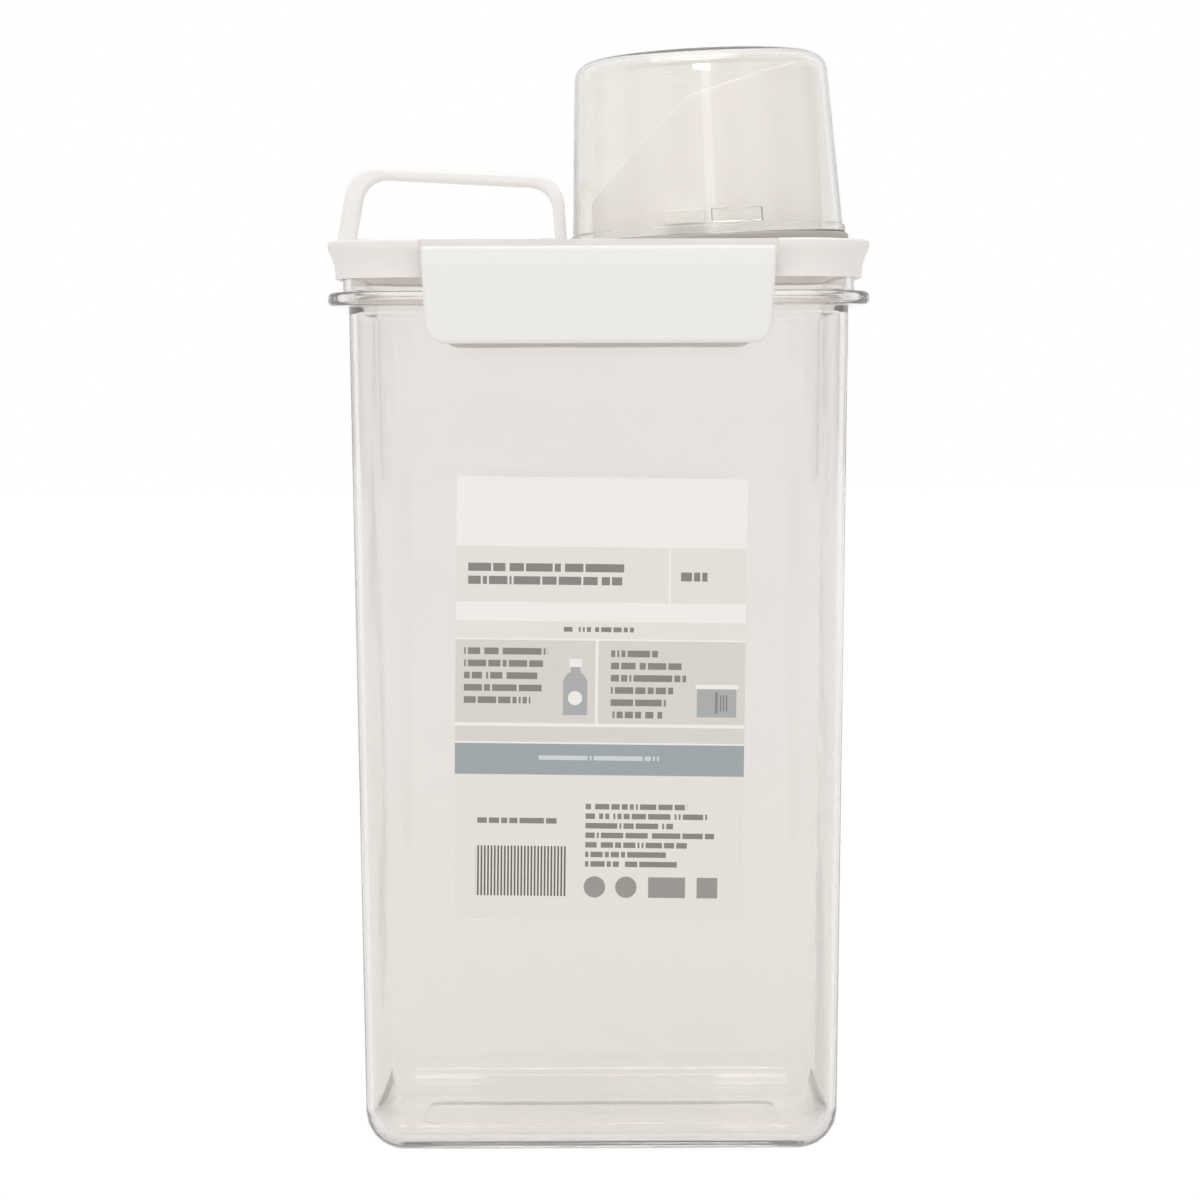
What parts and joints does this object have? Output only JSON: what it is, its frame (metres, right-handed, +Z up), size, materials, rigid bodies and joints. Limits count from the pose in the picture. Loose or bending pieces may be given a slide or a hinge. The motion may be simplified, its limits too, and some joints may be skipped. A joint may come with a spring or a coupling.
{
  "type": "laundry detergent dispenser",
  "caption": "Clear rectangular tub with a clipped white lid, bail handle, pouring spout and an upturned measuring cup over it.",
  "frame": {"origin": "middle of the base, on the surface that the dispenser stands on", "axes": "+Z up, +X from the handle towards the measuring cup, -Y to the front with the sticker"},
  "size_m": [0.1464, 0.1, 0.3011],
  "materials": {
    "clear_body": "clear polished",
    "clear_cup": "clear polished",
    "white_lid": "satin",
    "white_clip": "satin",
    "white_handle": "satin",
    "white_spout": "satin",
    "grey_seal": "matt silicone",
    "sticker": "printed film"
  },
  "bodies": {
    "tub": {"container": "clear_body", "label": "sticker", "lid": "white_lid", "lid_seal": "grey_seal", "spout": "white_spout", "cup_seal": "grey_seal"},
    "front_clip": {"front_clip": "white_clip"},
    "rear_clip": {"rear_clip": "white_clip"},
    "bail": {"handle": "white_handle"},
    "cup": {"measuring_cup": "clear_cup"}
  },
  "joints": [
    {"name": "front_clip_hinge", "type": "hinge", "parent": "tub", "child": "front_clip", "pos_m": [0, -0.0464, 0.2441], "axis": [-1, 0, 0], "range_deg": [0, 95]},
    {"name": "rear_clip_hinge", "type": "hinge", "parent": "tub", "child": "rear_clip", "pos_m": [0, 0.0464, 0.2441], "axis": [1, 0, 0], "range_deg": [0, 95]},
    {"name": "handle_fold", "type": "hinge", "parent": "tub", "child": "bail", "pos_m": [-0.0408, 0, 0.2481], "axis": [1, 0, 0], "range_deg": [-82, 82]},
    {"name": "cup_lift", "type": "slide", "parent": "tub", "child": "cup", "axis": [-0.0436, 0, 0.999], "range_m": [0, 0.055]}
  ]
}
